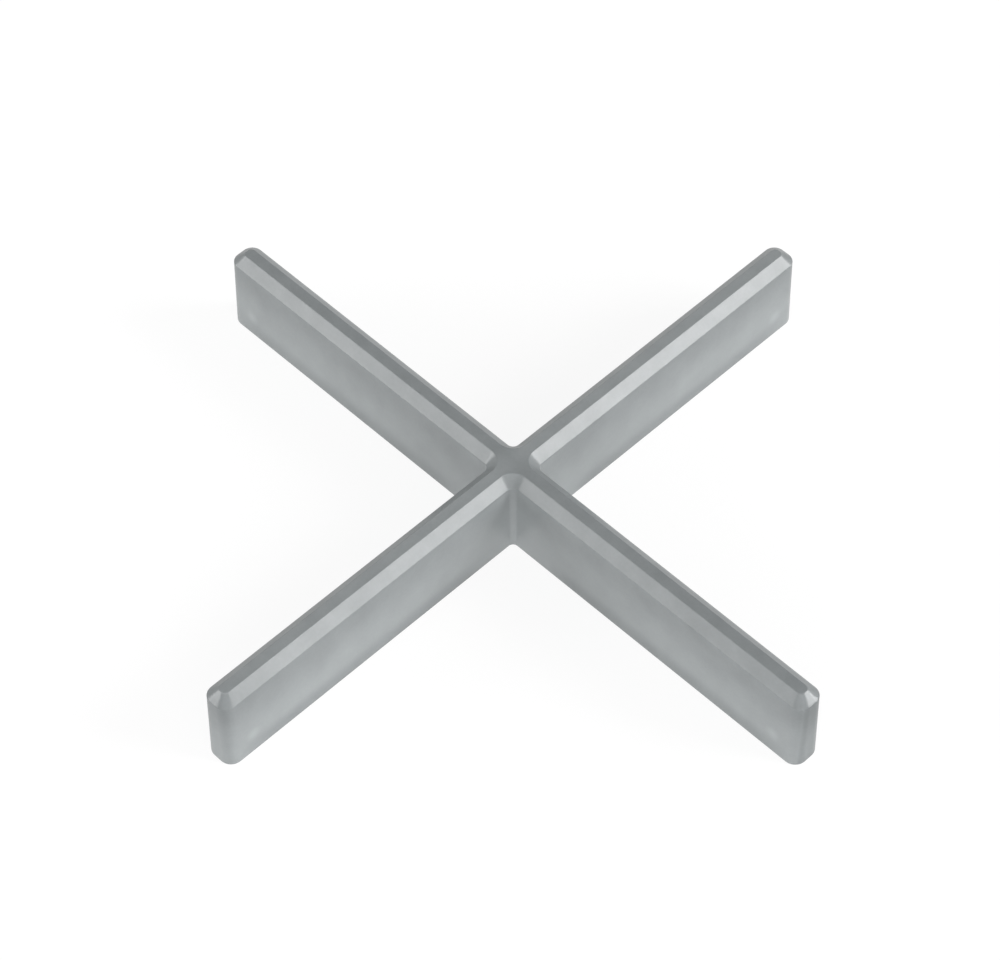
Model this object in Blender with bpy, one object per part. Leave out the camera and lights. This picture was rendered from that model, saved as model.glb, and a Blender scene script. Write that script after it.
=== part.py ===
"""A cross-shaped tile spacer, moulded in one piece of grey plastic.

Four straight legs meet at a hub. The corners of four tiles go into the four quarters between the
legs, and the width of a leg at its foot is the joint that stays between two tiles.

The spacer is a stack of cross-shaped outlines lofted from the underside to the top. Each outline is
the outline of the foot, moved inwards by the amount that the section has drawn in at that height:
a wall with a little draft, a wide chamfer, and a narrow flat top. The edge of the foot is sharp, as
it is where the two halves of a mould meet. The edges above it are slightly rounded.

The frame: +Z is up, the legs lie along X and Y, and the origin is the centre of the underside.
"""

import math

import bmesh
import bpy
from mathutils import Matrix, Vector

MM = 0.001

# Driving dimensions of the plan, taken at the foot, where the spacer is widest.
JOINT_WIDTH = 1.5 * MM
SPAN = 33.5 * MM
TIP_RADIUS = 0.55 * MM
HUB_FILLET = 0.25 * MM

# Driving dimensions of the section.
HEIGHT = 4.25 * MM
TOP_CHAMFER = 0.45 * MM
DRAFT_ANGLE = math.radians(0.9)
SHOULDER_ROUND = 0.05 * MM
CROWN_ROUND = 0.05 * MM

# How finely the round stretches are drawn.
CORNER_STEPS = 10
EDGE_STEPS = 3

# A tip corner that the chamfer has used up keeps this radius, so that its points stay apart.
SHARPEST_CORNER = 0.01 * MM

GREY_PLASTIC = (0.35, 0.38, 0.385, 1.0)
PLASTIC_ROUGHNESS = 0.4

QUARTER_TURN = math.radians(90)


def arc(centre, radius, start_degrees, end_degrees, steps):
    """Points along an arc, both ends included. It runs clockwise where the end is the smaller."""
    points = []
    for step in range(steps + 1):
        angle = math.radians(start_degrees + (end_degrees - start_degrees) * step / steps)
        points.append(centre + radius * Vector((math.cos(angle), math.sin(angle))))
    return points


def rounded_corner(before, corner, after, radius, steps):
    """The arc of that radius that touches both lines which meet at a corner of the section."""
    towards_before = (before - corner).normalized()
    towards_after = (after - corner).normalized()
    half_angle = towards_before.angle(towards_after) / 2
    setback = radius / math.tan(half_angle)
    start = corner + towards_before * setback
    end = corner + towards_after * setback
    centre = corner + (towards_before + towards_after).normalized() * (radius / math.sin(half_angle))
    turn = (start - centre).angle_signed(end - centre)
    return [centre + Matrix.Rotation(-turn * step / steps, 2) @ (start - centre) for step in range(steps + 1)]


def section():
    """The section's points from the underside to the top, each an inset from the foot and a height."""
    wall_height = HEIGHT - TOP_CHAMFER
    wall_inset = wall_height * math.tan(DRAFT_ANGLE)
    foot = Vector((0.0, 0.0))
    shoulder = Vector((wall_inset, wall_height))
    crown = Vector((wall_inset + TOP_CHAMFER, HEIGHT))
    top = Vector((JOINT_WIDTH / 2, HEIGHT))
    return [
        foot,
        *rounded_corner(foot, shoulder, crown, SHOULDER_ROUND, EDGE_STEPS),
        *rounded_corner(shoulder, crown, top, CROWN_ROUND, EDGE_STEPS),
    ]


def leg_outline(inset):
    """One leg's share of the outline, on the +X leg: round its tip and along to the next leg.

    A corner that bulges out loses radius as the outline moves in, and the hollow one at the hub gains.
    """
    half_width = JOINT_WIDTH / 2 - inset
    half_span = SPAN / 2 - inset
    tip_radius = min(max(TIP_RADIUS - inset, SHARPEST_CORNER), half_width - SHARPEST_CORNER)
    hub_radius = HUB_FILLET + inset
    near_corner = Vector((half_span - tip_radius, tip_radius - half_width))
    far_corner = Vector((half_span - tip_radius, half_width - tip_radius))
    hub_corner = Vector((half_width + hub_radius, half_width + hub_radius))
    return [
        *arc(near_corner, tip_radius, -90, 0, CORNER_STEPS),
        *arc(far_corner, tip_radius, 0, 90, CORNER_STEPS),
        *arc(hub_corner, hub_radius, 270, 180, CORNER_STEPS),
    ]


def add_ring(mesh, inset, height):
    """Adds the cross-shaped outline of one height to the mesh, and gives its edges in order."""
    corners = []
    for leg in range(4):
        turned = Matrix.Rotation(leg * QUARTER_TURN, 2)
        for point in leg_outline(inset):
            corners.append(mesh.verts.new((turned @ point).to_3d() + Vector((0.0, 0.0, height))))
    return [mesh.edges.new(pair) for pair in zip(corners, corners[1:] + corners[:1])]


def moulded_cross():
    """The spacer's mesh: the outlines bridged one to the next, with a flat face over each end."""
    mesh = bmesh.new()
    rings = [add_ring(mesh, inset, height) for inset, height in section()]
    for lower, upper in zip(rings, rings[1:]):
        bmesh.ops.bridge_loops(mesh, edges=lower + upper)
    for end in (rings[0], rings[-1]):
        bmesh.ops.contextual_create(mesh, geom=end)
    bmesh.ops.recalc_face_normals(mesh, faces=mesh.faces)
    data = bpy.data.meshes.new("spacer")
    mesh.to_mesh(data)
    mesh.free()
    data.shade_smooth()
    data.set_sharp_from_angle(angle=math.radians(30))
    return data


def grey_plastic():
    """Grey polypropylene with a satin surface."""
    material = bpy.data.materials.new("grey_plastic")
    material.use_nodes = True
    shader = material.node_tree.nodes["Principled BSDF"]
    shader.inputs["Base Color"].default_value = GREY_PLASTIC
    shader.inputs["Roughness"].default_value = PLASTIC_ROUGHNESS
    shader.inputs["Metallic"].default_value = 0.0
    return material


def main():
    for old in list(bpy.data.objects):
        bpy.data.objects.remove(old)
    collection = bpy.data.collections.new("tile_spacer")
    bpy.context.scene.collection.children.link(collection)
    spacer = bpy.data.objects.new("spacer", moulded_cross())
    spacer.data.materials.append(grey_plastic())
    collection.objects.link(spacer)


main()
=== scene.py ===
# %% [markdown]
# # A moulded tile spacer on a white table
#
# A tile spacer is a small plastic cross. It stands in the gap where four tiles meet and keeps the
# joints between them even. The real one is a single injection moulding in grey plastic, so this scene
# has one piece, one finish, a floor, some lights and a camera.
#
# The engineering model of the part is loaded first. It fixes the size and the place of everything.

import math

import bmesh
import bpy
import numpy as np
from mathutils import Matrix, Vector


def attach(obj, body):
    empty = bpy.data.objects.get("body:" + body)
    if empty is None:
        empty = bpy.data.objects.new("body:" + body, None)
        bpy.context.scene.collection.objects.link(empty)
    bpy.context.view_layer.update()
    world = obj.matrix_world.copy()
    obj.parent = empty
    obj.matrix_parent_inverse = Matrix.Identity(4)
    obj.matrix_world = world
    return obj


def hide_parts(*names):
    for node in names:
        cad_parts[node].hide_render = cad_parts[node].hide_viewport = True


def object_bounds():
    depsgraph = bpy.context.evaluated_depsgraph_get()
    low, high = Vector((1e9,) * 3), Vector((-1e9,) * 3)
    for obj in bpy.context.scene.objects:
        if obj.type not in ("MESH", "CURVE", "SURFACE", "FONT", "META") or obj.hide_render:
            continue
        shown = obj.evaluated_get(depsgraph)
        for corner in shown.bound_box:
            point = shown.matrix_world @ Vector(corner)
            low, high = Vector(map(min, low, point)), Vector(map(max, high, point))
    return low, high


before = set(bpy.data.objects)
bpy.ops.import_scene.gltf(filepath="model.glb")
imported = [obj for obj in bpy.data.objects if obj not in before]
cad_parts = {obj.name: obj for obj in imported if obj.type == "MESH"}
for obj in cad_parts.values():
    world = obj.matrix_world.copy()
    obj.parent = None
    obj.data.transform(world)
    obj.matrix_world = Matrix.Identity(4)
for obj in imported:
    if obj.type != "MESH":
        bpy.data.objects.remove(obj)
cad_low, cad_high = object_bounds()

MM = 0.001
span = cad_high.x - cad_low.x
height = cad_high.z
print(f"the spacer is {span / MM:.2f} mm across and {height / MM:.2f} mm tall")

# %% [markdown]
# ## The outline of the moulding at one height
#
# Seen from above, the spacer is a cross with rounded tips and four small fillets at the hub. At the
# foot it is as wide as the joint. Higher up the outline has moved inwards, by an amount that is called
# the inset here. A mesh could be bevelled to get that, but on a piece this slim a bevel pinches at the
# tips. So the outline is worked out for any inset, always with the same number of points, and two
# outlines can then be joined point by point.
#
# The tips get a smaller radius towards the top, but they never come to a corner, because the cutter
# that made the mould was round. The fillets at the hub get a larger one.

# %% Sizes of the outline, and its points for an inset
JOINT_WIDTH = 1.5 * MM
TIP_RADIUS = 0.55 * MM
TOP_TIP_RADIUS = 0.2 * MM
HUB_FILLET = 0.25 * MM
CHAMFER = 0.45 * MM
DRAFT = math.radians(0.9)

LEG_STEPS = 64
END_STEPS = 4
ARC_STEPS = 14

wall_height = height - CHAMFER
wall_inset = wall_height * math.tan(DRAFT)
top_inset = wall_inset + CHAMFER


def straight(start, end, count):
    """Points from start up to, but not with, end: start + t (end - start)."""
    t = np.arange(count)[:, None] / count
    return np.array(start) + t * (np.array(end) - np.array(start))


def bend(centre, radius, from_degrees, to_degrees, count):
    """Points on an arc, without its last: centre + radius (cos a, sin a)."""
    a = np.radians(from_degrees + (to_degrees - from_degrees) * np.arange(count) / count)
    return np.array(centre) + radius * np.stack([np.cos(a), np.sin(a)], axis=1)


def outline(inset):
    """The outline anticlockwise, moved inwards by the inset.

    One leg is worked out from the middle of one hub fillet to the middle of the next. The other three
    are the same points turned by 90, 180 and 270 degrees: (x, y) becomes (-y, x) at each quarter turn.
    The tip's radius goes evenly from its value at the foot to its value at the top.
    """
    side = JOINT_WIDTH / 2 - inset
    end = span / 2 - inset
    radius = TIP_RADIUS + (TOP_TIP_RADIUS - TIP_RADIUS) * inset / top_inset
    fillet = HUB_FILLET + inset
    hub = side + fillet
    tip = end - radius
    across = side - radius
    leg = np.concatenate([
        bend((hub, -hub), fillet, 135, 90, ARC_STEPS // 2),
        straight((hub, -side), (tip, -side), LEG_STEPS),
        bend((tip, -across), radius, -90, 0, ARC_STEPS),
        straight((end, -across), (end, across), END_STEPS),
        bend((tip, across), radius, 0, 90, ARC_STEPS),
        straight((tip, side), (hub, side), LEG_STEPS),
        bend((hub, hub), fillet, 270, 225, ARC_STEPS // 2),
    ])
    quarter = np.array([[0.0, 1.0], [-1.0, 0.0]])
    return np.concatenate([leg @ np.linalg.matrix_power(quarter, k) for k in range(4)])


print("the outline has", len(outline(0)), "points and is", round(2 * outline(0).max() / MM, 2), "mm across")

# %% [markdown]
# ## The section of a leg
#
# Cut across, a leg is a wall with a little draft, so that it leaves the mould, then a chamfer at 45
# degrees and a narrow flat top. No moulded edge is quite sharp, and the light that an edge catches
# tells the eye how big an object is. So every corner of the section is replaced by a small arc, and
# extra points close beside each arc keep the flat faces flat when the mesh is shaded smooth.

# %% Points of the section from the foot to the top
FOOT_EDGE = 0.04 * MM
SHOULDER_EDGE = 0.06 * MM
CROWN_EDGE = 0.06 * MM
EDGE_POINTS = 7
BESIDE_EDGE = 0.015 * MM
WALL_ROWS = 12
CHAMFER_ROWS = 4


def eased_corner(before, corner, after, radius):
    """The arc that touches both lines of a corner, with one more point beside each of its ends.

    The arc starts radius / tan(half the angle) before the corner. Its points are the centre plus the
    radius at angles spread evenly between the two touching points.
    """
    before, corner, after = (np.array(p, float) for p in (before, corner, after))
    back = (before - corner) / np.linalg.norm(before - corner)
    ahead = (after - corner) / np.linalg.norm(after - corner)
    half = np.arccos(np.clip(back @ ahead, -1, 1)) / 2
    setback = radius / np.tan(half)
    centre = corner + (back + ahead) / np.linalg.norm(back + ahead) * radius / np.sin(half)
    first = corner + back * setback - centre
    last = corner + ahead * setback - centre
    start = np.arctan2(first[1], first[0])
    sweep = (np.arctan2(last[1], last[0]) - start + np.pi) % (2 * np.pi) - np.pi
    a = start + sweep * np.linspace(0, 1, EDGE_POINTS)
    arc = centre + radius * np.stack([np.cos(a), np.sin(a)], axis=1)
    beside = setback + BESIDE_EDGE
    return np.concatenate([[corner + back * beside], arc, [corner + ahead * beside]])


def between(start, end, count):
    """Evenly spaced points strictly between two points of the section."""
    t = np.linspace(0, 1, count + 2)[1:-1, None]
    return start + t * (end - start)


def leg_section():
    """Points (inset, height) from the underside round the foot, up the wall and over the chamfer."""
    underside = (JOINT_WIDTH / 2, 0)
    foot = (0, 0)
    shoulder = (wall_inset, wall_height)
    crown = (top_inset, height)
    middle = (JOINT_WIDTH / 2, height)
    foot_edge = eased_corner(underside, foot, shoulder, FOOT_EDGE)
    shoulder_edge = eased_corner(foot, shoulder, crown, SHOULDER_EDGE)
    crown_edge = eased_corner(shoulder, crown, middle, CROWN_EDGE)
    return np.concatenate([
        foot_edge,
        between(foot_edge[-1], shoulder_edge[0], WALL_ROWS),
        shoulder_edge,
        between(shoulder_edge[-1], crown_edge[0], CHAMFER_ROWS),
        crown_edge,
    ])


section = leg_section()
print("the section has", len(section), "points")

# %% [markdown]
# ## The skin of the moulding
#
# The whole surface is one grid. Its first parameter runs round the outline and its second runs up the
# section, and each row is the outline for that point's inset, at that point's height.
#
# A last set of rows closes the top and the underside. They run from the edge to the middle line of
# each leg, where the two sides meet and are merged. The top of the hub sinks by a hair, because the
# plastic is thickest there and shrinks the most.

# %% Make the skin
CAP_ROWS = 5
HUB_SINK = 0.012 * MM
HUB_SINK_WIDTH = 0.9 * MM
WELD_DISTANCE = 0.0005 * MM


def middle_line(points):
    """Where the cap of each point closes: on the nearest leg's middle line, |x| - |y| from the hub.

    With |x| > |y| the point (x, y) goes to (sign(x) (|x| - |y|), 0), and the other way round.
    """
    x, y = points[:, 0], points[:, 1]
    along = np.abs(np.abs(x) - np.abs(y))
    on_x = np.abs(x) >= np.abs(y)
    return np.stack([np.where(on_x, np.sign(x) * along, 0), np.where(on_x, 0, np.sign(y) * along)], axis=1)


def skin_grid():
    """Rows outline(inset) at the section's heights, then edge + t (middle - edge) for the two caps.

    The top's height is height - sink * exp(-(r / width)^2), with r the distance from the middle.
    """
    walls = np.stack([outline(inset) for inset in section[:, 0]])
    heights = np.repeat(section[:, 1, None], walls.shape[1], axis=1)
    t = np.linspace(0, 1, CAP_ROWS + 1)[1:, None, None]
    top = walls[-1] + t * (middle_line(walls[-1]) - walls[-1])
    under = walls[0] + t[::-1] * (middle_line(walls[0]) - walls[0])
    from_middle = np.linalg.norm(top, axis=2)
    top_heights = height - HUB_SINK * np.exp(-(from_middle / HUB_SINK_WIDTH) ** 2)
    flat = np.concatenate([under, walls, top])
    z = np.concatenate([np.zeros(under.shape[:2]), heights, top_heights])
    return np.concatenate([flat, z[:, :, None]], axis=2)


def closed_grid_mesh(name, grid):
    """A mesh from rows of points that each close on themselves, joined row to row with quads."""
    rows, columns = grid.shape[:2]
    index = np.arange(rows * columns).reshape(rows, columns)
    ahead = np.roll(index, -1, axis=1)
    quads = np.stack([index[:-1], ahead[:-1], ahead[1:], index[1:]], axis=2).reshape(-1, 4)
    mesh = bpy.data.meshes.new(name)
    mesh.from_pydata(grid.reshape(-1, 3).tolist(), [], quads.tolist())
    return mesh


def weld(mesh, distance):
    """Merges the points where the two sides of a cap meet, drops what that flattened, and faces it out."""
    work = bmesh.new()
    work.from_mesh(mesh)
    bmesh.ops.remove_doubles(work, verts=work.verts, dist=distance)
    bmesh.ops.dissolve_degenerate(work, edges=work.edges, dist=distance)
    bmesh.ops.recalc_face_normals(work, faces=work.faces)
    open_edges = sum(not edge.is_manifold for edge in work.edges)
    work.to_mesh(mesh)
    work.free()
    return open_edges


skin = closed_grid_mesh("moulded_cross", skin_grid())
open_edges = weld(skin, WELD_DISTANCE)
skin.shade_smooth()
moulded_cross = bpy.data.objects.new("moulded_cross", skin)
bpy.context.scene.collection.objects.link(moulded_cross)
print("the skin has", len(skin.polygons), "faces and", open_edges, "open edges")

# %% [markdown]
# ## Finish: grey polypropylene
#
# The real piece looks like polypropylene, as most such spacers are: coloured right through, and
# injection moulded against a mould with a spark-eroded face. That gives the eye a satin grey, with a
# soft highlight on the chamfers, and a faint unevenness where the pigment and the shrinkage aren't
# quite the same everywhere.
#
# One colour would do for the shape, but it would look like paint on a computer model. So the colour is
# built up from a few small nodes, each with a scale in real millimetres. Some of them paint light and
# shade into it.

# %% Helpers for materials
def srgb(code):
    """Linear colour from a six-digit sRGB hex value: ((c + 0.055) / 1.055) ^ 2.4 above the dark end."""
    channels = [int(code[i:i + 2], 16) / 255 for i in (0, 2, 4)]
    return [c / 12.92 if c <= 0.04045 else ((c + 0.055) / 1.055) ** 2.4 for c in channels] + [1.0]


def add_node(tree, kind, settings=(), **inputs):
    """Adds a node with its settings, and sets each given input or links an output to it.

    An input goes by its name with _ for a space, or by its number as _0 or _1.
    """
    node = tree.nodes.new(kind)
    for name, value in dict(settings).items():
        setattr(node, name, value)
    for name, value in inputs.items():
        socket = node.inputs[int(name[1:]) if name[0] == "_" else name.replace("_", " ")]
        if isinstance(value, bpy.types.NodeSocket):
            tree.links.new(value, socket)
        else:
            socket.default_value = value
    return node


def empty_material(name):
    """A material whose node tree starts with nothing in it."""
    material = bpy.data.materials.new(name)
    material.use_nodes = True
    material.node_tree.nodes.clear()
    return material, material.node_tree


print("the mid grey 808080 is", round(srgb("808080")[0], 3), "in linear light")

# %% [markdown]
# ### Where on a leg a point lies
#
# Two patterns of the plastic follow the shape: the shade of the walls and the marks near the tips.
# They are nearly the same on every leg, so they read the distance out along a leg, which is the
# larger of |x| and |y|, and the height above the foot. Two small differences between the legs also
# read x, and |y| - |x|, which is above 0 on the Y legs. Object coordinates give all of it, in metres.

# %% Places on the piece
def places(tree):
    """The point, its x and z, the distance out along a leg max(|x|, |y|), and the turn |y| - |x|."""
    point = add_node(tree, "ShaderNodeTexCoord").outputs["Object"]
    split = add_node(tree, "ShaderNodeSeparateXYZ", Vector=point)
    x = split.outputs["X"]
    size_x = add_node(tree, "ShaderNodeMath", {"operation": "ABSOLUTE"}, _0=x).outputs[0]
    size_y = add_node(tree, "ShaderNodeMath", {"operation": "ABSOLUTE"}, _0=split.outputs["Y"]).outputs[0]
    out = add_node(tree, "ShaderNodeMath", {"operation": "MAXIMUM"}, _0=size_x, _1=size_y).outputs[0]
    turn = add_node(tree, "ShaderNodeMath", {"operation": "SUBTRACT"}, _0=size_y, _1=size_x).outputs[0]
    return {"point": point, "x": x, "z": split.outputs["Z"], "out": out, "turn": turn}


def ramp(tree, value, start, end, low=0.0, high=1.0):
    """A smooth step from low at start to high at end: low + (high - low)(3 t^2 - 2 t^3)."""
    return add_node(
        tree, "ShaderNodeMapRange", {"interpolation_type": "SMOOTHSTEP"},
        Value=value, From_Min=start, From_Max=end, To_Min=low, To_Max=high,
    ).outputs["Result"]


print("patterns run out to", round(span / 2 / MM, 2), "mm from the middle")

# %% [markdown]
# ### The painted shade of a wall
#
# The walls are painted lighter low down than under the chamfer. Polypropylene is a little cloudy,
# and a spacer on a bright sheet takes light in through its foot, so this is painted light standing
# for that. Along the long walls the last millimetre is painted darker again: painted shade for the
# sheet right beside the wall, which lies in the wall's own shade. Along the long walls the last
# millimetre is darker again, perhaps because the sheet right beside it lies in the wall's own shade.
# At a tip and at the hub that painted dark band fades out. In the corners of the hub the walls are
# painted light up to the chamfer, as if the two legs passed light to each other. A painted shade runs
# as a darker line down the middle of the small fillet. The very tips are painted a little darker, as
# painted shade.
#
# The photograph also shows the end of the +X leg a shade darker than the other near end, and the tops
# of the two Y legs a little paler than those of the X legs. Why isn't known. Lights that stand far off
# can't do it, since they give the same light to all faces that point the same way, so both are put
# into the colour of the plastic.
#
# Scattering under the surface could do some of it, but on a piece as small as this it is slow, noisy
# and hard to steer. A few ramps along the height and out along the leg paint the same look into the
# colour instead, as painted light and painted shade.

# %% The painted shade of a wall: about 0 where it is painted darkest and 1 where painted lightest
# Heights between which the walls are painted lighter towards the foot, as painted light
WALL_LIGHTEST = 1.15 * MM
WALL_DARKEST = 3.7 * MM
# A band of painted shade along the foot of the long walls
FOOT_SHADE_TOP = 1.05 * MM
FOOT_SHADE_FULL = 0.3 * MM
FOOT_SHADE_SHARE = 0.7
FOOT_SHADE_STARTS_FROM_TIP = 0.3 * MM
FOOT_SHADE_FULL_FROM_TIP = 2.2 * MM
FOOT_SHADE_STARTS_FROM_HUB = 2.2 * MM
FOOT_SHADE_FULL_FROM_HUB = 4.2 * MM
# Painted light in the corners of the hub
HUB_LIGHT_HIGH = 0.85
HUB_LIGHT_LOW = 0.6
HUB_LIGHT_FULL = 1.1 * MM
HUB_LIGHT_HIGH_ENDS = 2.9 * MM
HUB_LIGHT_LOW_ENDS = 5.0 * MM
HUB_LIGHT_TOP = 3.85 * MM
HUB_LIGHT_BELOW = 3.65 * MM
# Painted shade down the middle of each hub fillet
FILLET_LOSS = 0.4
FILLET_MIDDLE = 0.8 * MM
# Painted shade at the very tips
TIP_LOSS = 0.2
TIP_LOSS_STARTS = 0.35 * MM
TIP_LOSS_FULL = 0.05 * MM
# The end of the +X leg, painted darker into the colour
DARK_END_LOSS = 0.95
DARK_END_STARTS = 0.16 * MM
DARK_END_FULL = 0.03 * MM
# The tops, painted paler on the Y legs and darker on the X legs
TOP_SHADE_ON_X = -0.2
TOP_SHADE_ON_Y = 0.35
TOP_TURNS_OVER = 1.0 * MM
TOP_STARTS = 0.04 * MM
TOP_FULL = 0.015 * MM


def product(tree, *factors):
    """The factors multiplied together."""
    result = factors[0]
    for factor in factors[1:]:
        times = add_node(tree, "ShaderNodeMath", {"operation": "MULTIPLY"}, _0=result, _1=factor)
        result = times.outputs[0]
    return result


def painted_wall_shade(tree, at):
    """Painted shade: painted_light_from_foot(z) plus and minus a share of each product of ramps.

    Painted light at the hub, above and below, is added. Painted shade in the fillet, in the band beside
    the sheet and at the very tip is taken away, and so is the dark end. The top gains on the Y legs and
    loses on the X legs.
    """
    x = at["x"]
    z = at["z"]
    out = at["out"]
    # Painted light: the walls are painted lighter towards the foot
    painted_light_from_foot = ramp(tree, z, WALL_DARKEST, WALL_LIGHTEST)
    fall = ramp(tree, z, WALL_LIGHTEST, WALL_DARKEST)
    near_hub_high = ramp(tree, out, HUB_LIGHT_HIGH_ENDS, HUB_LIGHT_FULL)
    near_hub_low = ramp(tree, out, HUB_LIGHT_LOW_ENDS, HUB_LIGHT_FULL)
    below_chamfer = ramp(tree, z, HUB_LIGHT_TOP, HUB_LIGHT_BELOW)
    in_fillet = ramp(tree, out, HUB_LIGHT_FULL, FILLET_MIDDLE)
    # A band of painted shade along the foot, beside the sheet
    painted_foot_shade = ramp(tree, z, FOOT_SHADE_TOP, FOOT_SHADE_FULL)
    clear_of_tip = ramp(tree, out, span / 2 - FOOT_SHADE_STARTS_FROM_TIP, span / 2 - FOOT_SHADE_FULL_FROM_TIP)
    clear_of_hub = ramp(tree, out, FOOT_SHADE_STARTS_FROM_HUB, FOOT_SHADE_FULL_FROM_HUB)
    at_tip = ramp(tree, out, span / 2 - TIP_LOSS_STARTS, span / 2 - TIP_LOSS_FULL)
    at_dark_end = ramp(tree, x, span / 2 - DARK_END_STARTS, span / 2 - DARK_END_FULL)
    on_top = ramp(tree, z, height - TOP_STARTS, height - TOP_FULL)
    x_to_y = ramp(tree, at["turn"], -TOP_TURNS_OVER, TOP_TURNS_OVER, TOP_SHADE_ON_X, TOP_SHADE_ON_Y)
    shade = painted_light_from_foot
    for part in (
        product(tree, fall, near_hub_high, below_chamfer, HUB_LIGHT_HIGH),
        product(tree, painted_light_from_foot, near_hub_low, HUB_LIGHT_LOW),
        product(tree, in_fillet, below_chamfer, -FILLET_LOSS),
        product(tree, painted_foot_shade, clear_of_tip, clear_of_hub, -FOOT_SHADE_SHARE),
        product(tree, at_tip, -TIP_LOSS),
        product(tree, at_dark_end, -DARK_END_LOSS),
        product(tree, on_top, x_to_y),
    ):
        shade = add_node(tree, "ShaderNodeMath", _0=shade, _1=part).outputs[0]
    return shade


# The walls are painted lightest at this height, as painted light from the foot
print("walls are lightest", round(WALL_LIGHTEST / MM, 2), "mm above the foot")

# %% [markdown]
# ### The spots near the tips
#
# On each wall, a little in from the tip and low down, the real piece has a soft lighter spot, about a
# millimetre wide. Why it is there isn't known, so the spot is simply painted lighter into the colour.
# One soft painted bar straight through the leg shows as such a spot on both of its walls, so the
# pattern needs no side of its own.

# %% The spots
SPOT_FROM_TIP = 1.35 * MM
SPOT_HEIGHT = 1.15 * MM
SPOT_RADIUS = 0.5 * MM


def tip_spot(tree, at):
    """1 at the centre and 0 at the rim, by the distance sqrt((out - centre)^2 + (z - height)^2)."""
    centre = span / 2 - SPOT_FROM_TIP
    along = add_node(tree, "ShaderNodeMath", {"operation": "SUBTRACT"}, _0=at["out"], _1=centre)
    above = add_node(tree, "ShaderNodeMath", {"operation": "SUBTRACT"}, _0=at["z"], _1=SPOT_HEIGHT)
    offset = add_node(tree, "ShaderNodeCombineXYZ", X=along.outputs[0], Y=above.outputs[0])
    distance = add_node(tree, "ShaderNodeVectorMath", {"operation": "LENGTH"}, _0=offset.outputs[0])
    return ramp(tree, distance.outputs["Value"], SPOT_RADIUS, 0.0)


print("one spot in each wall of each leg,", round(2 * SPOT_RADIUS / MM, 2), "mm wide")

# %% [markdown]
# ### The plastic itself
#
# The colour runs between a shaded and a lit grey with the painted shade of the wall. Clouds of pigment
# about a millimetre wide and a fine speckle move it by a few per cent. The roughness wanders too, so that
# the highlight
# along a chamfer isn't ruled with a straightedge. It stays above about 0.275. With a roughness that
# went lower in places, the denoised picture had faint islands with thin outlines there. The bump adds
# the slow waves of shrinkage. The grain of the mould's face is only about 0.02 mm, too fine to be seen
# from here as anything but a soft highlight, so the roughness stands for it.

# %% The plastic
# A shaded and a lit copy of one grey: the painted shade of the wall runs between them
SHADED_GREY = "7B7F80"
LIT_GREY = "8D9192"
# The spots near the tips are painted this lighter grey
SPOT_GREY = "A3A7A8"
SPOT_SHARE = 0.45
PIGMENT_CLOUD = 1.1 * MM
CLOUD_SHARE = 0.13
PIGMENT_SPECKLE = 0.15 * MM
SPECKLE_SHARE = 0.06
ROUGHNESS = 0.305
ROUGHNESS_SPREAD = 0.02
ROUGHNESS_CLOUD = 0.8 * MM
SHRINK_WAVE = 1.5 * MM
SHRINK_DEPTH = 0.004 * MM
REFRACTION = 1.49
SCATTER_SHARE = 0.1
SCATTER_DEPTH = 0.4 * MM
NOISE_DETAIL = 1.0
NOISE_LOW = 0.3
NOISE_HIGH = 0.7


def moulded_polypropylene():
    """Satin grey polypropylene: colour by painted shade and pigment, roughness by cloud, bump by shrinkage.

    A noise with lumps of one size has the scale 1 / size. Most of its values lie between a low and a
    high one, so that stretch is laid over a pattern's range, and the few beyond it go on in a line.
    """
    material, tree = empty_material("moulded_polypropylene")
    at = places(tree)

    def noise(size, low, high):
        lumps = add_node(
            tree, "ShaderNodeTexNoise", Vector=at["point"], Scale=1 / size, Detail=NOISE_DETAIL,
        )
        return add_node(
            tree, "ShaderNodeMapRange", {"clamp": False},
            Value=lumps.outputs["Fac"], From_Min=NOISE_LOW, From_Max=NOISE_HIGH, To_Min=low, To_Max=high,
        ).outputs["Result"]

    # The painted shade of the wall, then the pigment's clouds and speckle added to it
    shade = painted_wall_shade(tree, at)
    for size, share in ((PIGMENT_CLOUD, CLOUD_SHARE), (PIGMENT_SPECKLE, SPECKLE_SHARE)):
        shade = add_node(tree, "ShaderNodeMath", _0=shade, _1=noise(size, -share, share)).outputs[0]
    grey = add_node(
        tree, "ShaderNodeMix", {"data_type": "RGBA", "clamp_factor": False},
        _0=shade, _6=srgb(SHADED_GREY), _7=srgb(LIT_GREY),
    )
    colour = add_node(
        tree, "ShaderNodeMix", {"data_type": "RGBA"},
        _0=product(tree, tip_spot(tree, at), SPOT_SHARE), _6=grey.outputs[2], _7=srgb(SPOT_GREY),
    )
    waves = add_node(tree, "ShaderNodeBump", Height=noise(SHRINK_WAVE, 0, 1), Distance=SHRINK_DEPTH)
    shader = add_node(
        tree, "ShaderNodeBsdfPrincipled",
        Base_Color=colour.outputs[2],
        Roughness=noise(ROUGHNESS_CLOUD, ROUGHNESS - ROUGHNESS_SPREAD, ROUGHNESS + ROUGHNESS_SPREAD),
        Normal=waves.outputs["Normal"],
        IOR=REFRACTION,
        Subsurface_Weight=SCATTER_SHARE,
        Subsurface_Radius=(1.0, 1.0, 1.0),
        Subsurface_Scale=SCATTER_DEPTH,
    )
    add_node(tree, "ShaderNodeOutputMaterial", Surface=shader.outputs["BSDF"])
    return material


plastic = moulded_polypropylene()
moulded_cross.data.materials.append(plastic)
print("the plastic has", len(plastic.node_tree.nodes), "nodes")

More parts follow.
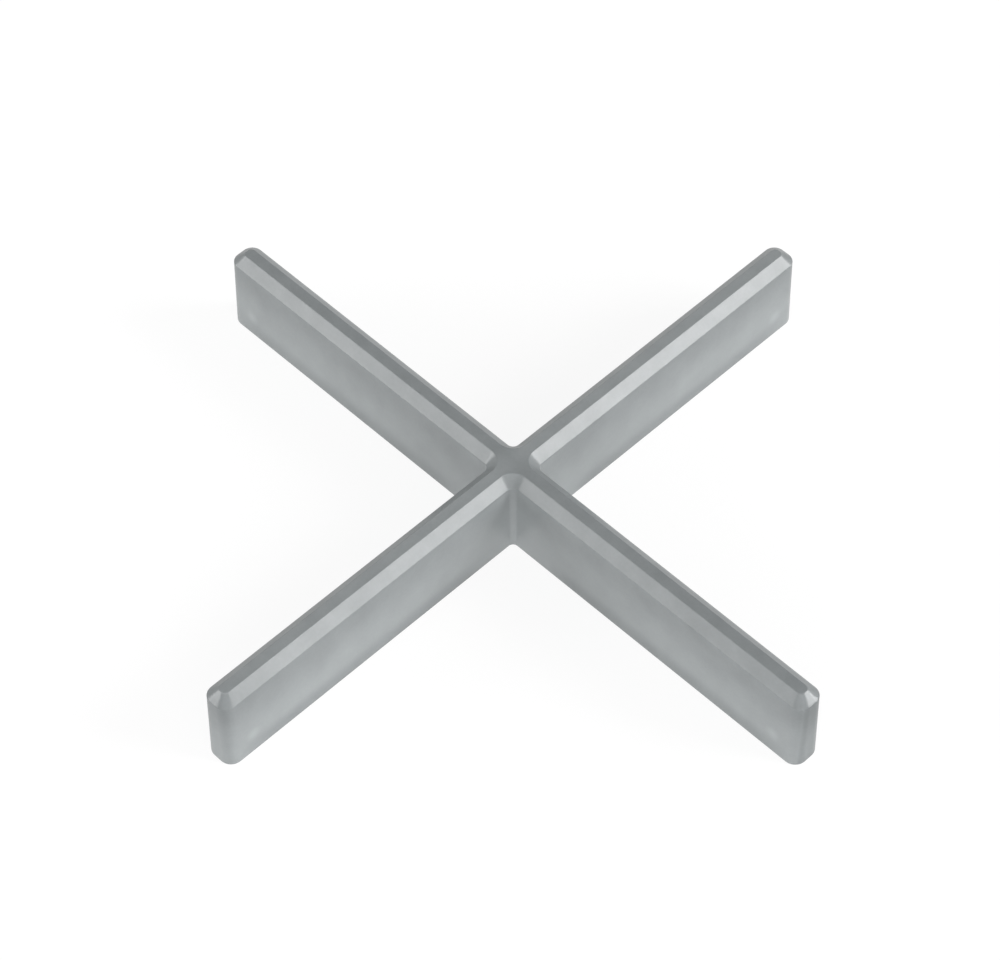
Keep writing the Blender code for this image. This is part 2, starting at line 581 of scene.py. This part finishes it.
# %% [markdown]
# ## Who carries the piece
#
# The engineering model has one solid, the spacer, on one body. The new piece rides on that body, and
# stands in for that solid wherever the model is seen. The solid stays behind for weight and contact.

# %% Tie the piece to the engineering model
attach(moulded_cross, "root")
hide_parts("spacer")
print("the moulded cross rides on root and stands for the spacer")

# %% [markdown]
# ## The floor: a white light table
#
# Small parts are often photographed on a light table, a sheet of opal acrylic with lamps below it. The
# sheet glows evenly, so there is hardly a shadow and the background goes white. The glow also fills
# the walls of the part from below.
#
# A camera set for such a picture shows the sheet brighter than the part sees it. One number for both
# would give either a grey background or washed-out walls. So the sheet's strength is chosen by the
# kind of ray that meets it, and a little plain white paint on it still takes a faint real shadow.

# %% The floor
SHEET_RADIUS = 1.5
SHEET_SIDES = 128
SHEET_GLOW = 0.60
SHEET_SEEN = 0.86
SHEET_WHITE = "6C6C6C"
WHITE_GLOW = (1, 1, 1, 1)


def opal_sheet():
    """A round flat sheet under the foot: strength = seen for the camera, glow for every other ray."""
    bpy.ops.mesh.primitive_circle_add(
        vertices=SHEET_SIDES, radius=SHEET_RADIUS, fill_type="NGON", location=(0, 0, cad_low.z),
    )
    sheet = bpy.context.object
    sheet.name = "light_table"
    material, tree = empty_material("opal_acrylic")
    ray = add_node(tree, "ShaderNodeLightPath")
    strength = add_node(
        tree, "ShaderNodeMapRange",
        Value=ray.outputs["Is Camera Ray"], To_Min=SHEET_GLOW, To_Max=SHEET_SEEN,
    )
    shader = add_node(
        tree, "ShaderNodeBsdfPrincipled",
        Base_Color=srgb(SHEET_WHITE), Roughness=1.0, Specular_IOR_Level=0.0,
        Emission_Color=WHITE_GLOW, Emission_Strength=strength.outputs["Result"],
    )
    add_node(tree, "ShaderNodeOutputMaterial", Surface=shader.outputs["BSDF"])
    sheet.data.materials.append(material)
    return sheet


light_table = opal_sheet()
print(light_table.name, "is", round(light_table.dimensions.x, 2), "m across")

# %% [markdown]
# ## Lights
#
# Two softboxes stand low at the sides, where the long chamfers throw their light straight to the
# camera. The right one is the stronger, so the chamfers that face it are the brightest. A wide dim
# panel stands low in front. It fills the walls and rolls softly round the tips. Its upper edge is at 31
# degrees. The rounded chamfer at the end of a near leg mirrors what is at 37 degrees, and there a small
# dark gap parts the side chamfer from the end one. A weak box high in front lifts the tops a little.

# %% The softboxes
SOFTBOX_DISTANCE = 1.0
SOFTBOXES = {
    "right_softbox": {"azimuth": 38, "elevation": 25, "wide": 0.5, "tall": 0.5, "watts": 8.2},
    "left_softbox": {"azimuth": 233, "elevation": 17, "wide": 0.5, "tall": 0.4, "watts": 4.2},
    "front_panel": {"azimuth": 315, "elevation": 18, "wide": 1.6, "tall": 0.45, "watts": 6.5},
    "front_high_softbox": {"azimuth": 315, "elevation": 66, "wide": 0.5, "tall": 0.5, "watts": 1.2},
}


def softbox(name, azimuth, elevation, wide, tall, watts):
    """A flat light that faces the piece from the direction (cos a cos e, sin a cos e, sin e).

    The azimuth a is measured from +X towards +Y, and the elevation e up from the table.
    """
    data = bpy.data.lights.new(name, "AREA")
    data.shape = "RECTANGLE"
    data.size = wide
    data.size_y = tall
    data.energy = watts
    a = math.radians(azimuth)
    e = math.radians(elevation)
    towards = Vector((math.cos(a) * math.cos(e), math.sin(a) * math.cos(e), math.sin(e)))
    lamp = bpy.data.objects.new(name, data)
    lamp.location = towards * SOFTBOX_DISTANCE
    lamp.rotation_euler = towards.to_track_quat("Z", "Y").to_euler()
    bpy.context.scene.collection.objects.link(lamp)


for name, setting in SOFTBOXES.items():
    softbox(name, **setting)
all_watts = sum(setting["watts"] for setting in SOFTBOXES.values())
print(len(SOFTBOXES), "softboxes,", round(all_watts, 1), "W in all")

# %% [markdown]
# ## The room
#
# Behind the table the room is pale near the horizon, as a studio wall is, and a middle grey above.
# The flat tops mirror that upper part towards the camera, so its grey sets how dark they look beside
# the chamfers. The world's colour runs from one to the other with the height of the direction that is
# looked in.

# %% The room
WALL_GREY = 0.75
CEILING_GREY = 0.41
WALL_TOP_DEGREES = 12
CEILING_FROM_DEGREES = 30


def studio_room():
    """Grey = wall below the first angle, ceiling above the second, and a smooth step between.

    The world's direction has length 1, so its z is the sine of the angle above the table.
    """
    wall_top = math.sin(math.radians(WALL_TOP_DEGREES))
    ceiling_from = math.sin(math.radians(CEILING_FROM_DEGREES))
    world = bpy.data.worlds.new("studio_room")
    world.use_nodes = True
    tree = world.node_tree
    direction = add_node(tree, "ShaderNodeTexCoord").outputs["Generated"]
    up = add_node(tree, "ShaderNodeSeparateXYZ", Vector=direction).outputs["Z"]
    grey = add_node(
        tree, "ShaderNodeMapRange", {"interpolation_type": "SMOOTHSTEP"},
        Value=up, From_Min=wall_top, From_Max=ceiling_from, To_Min=WALL_GREY, To_Max=CEILING_GREY,
    )
    tree.links.new(grey.outputs["Result"], tree.nodes["Background"].inputs["Color"])
    return world


bpy.context.scene.world = studio_room()
print("the room is pale up to", WALL_TOP_DEGREES, "degrees above the table")

# %% [markdown]
# ## The camera
#
# The camera looks down at 53 degrees from between two legs, through a long lens. Its distance and its
# lens were matched to how much the far legs look shorter than the near ones. The picture's middle is
# a little off the piece's middle, so the camera is turned by that much, and it is kept level by
# building its axes from its own up direction.

# %% The camera
CAMERA_AZIMUTH = math.radians(45.02)
CAMERA_ELEVATION = math.radians(52.62)
CAMERA_DISTANCE = 149.4 * MM
LENS = 129.0
AIM_LEFT = 0.546 * MM
AIM_UP = 0.505 * MM
NEAREST_SEEN = 0.01
FURTHEST_SEEN = 10


def photo_camera():
    """A camera at centre + distance * back, whose axes are across, up and away from the aim point."""
    a, e = CAMERA_AZIMUTH, CAMERA_ELEVATION
    back = Vector((math.sin(a) * math.cos(e), -math.cos(a) * math.cos(e), math.sin(e)))
    right = Vector((math.cos(a), math.sin(a), 0))
    up = back.cross(right)
    centre = Vector((0, 0, height / 2))
    aim = centre - right * AIM_LEFT + up * AIM_UP
    data = bpy.data.cameras.new("photo_camera")
    data.lens = LENS
    data.clip_start = NEAREST_SEEN
    data.clip_end = FURTHEST_SEEN
    camera = bpy.data.objects.new("photo_camera", data)
    camera.location = centre + back * CAMERA_DISTANCE
    away = (camera.location - aim).normalized()
    across = up.cross(away).normalized()
    camera.rotation_euler = Matrix((across, away.cross(across), away)).transposed().to_euler()
    bpy.context.scene.collection.objects.link(camera)
    return camera


bpy.context.scene.camera = photo_camera()
bpy.context.scene.view_settings.view_transform = "Standard"
print("the camera is", round(CAMERA_DISTANCE / MM, 1), "mm from the piece")
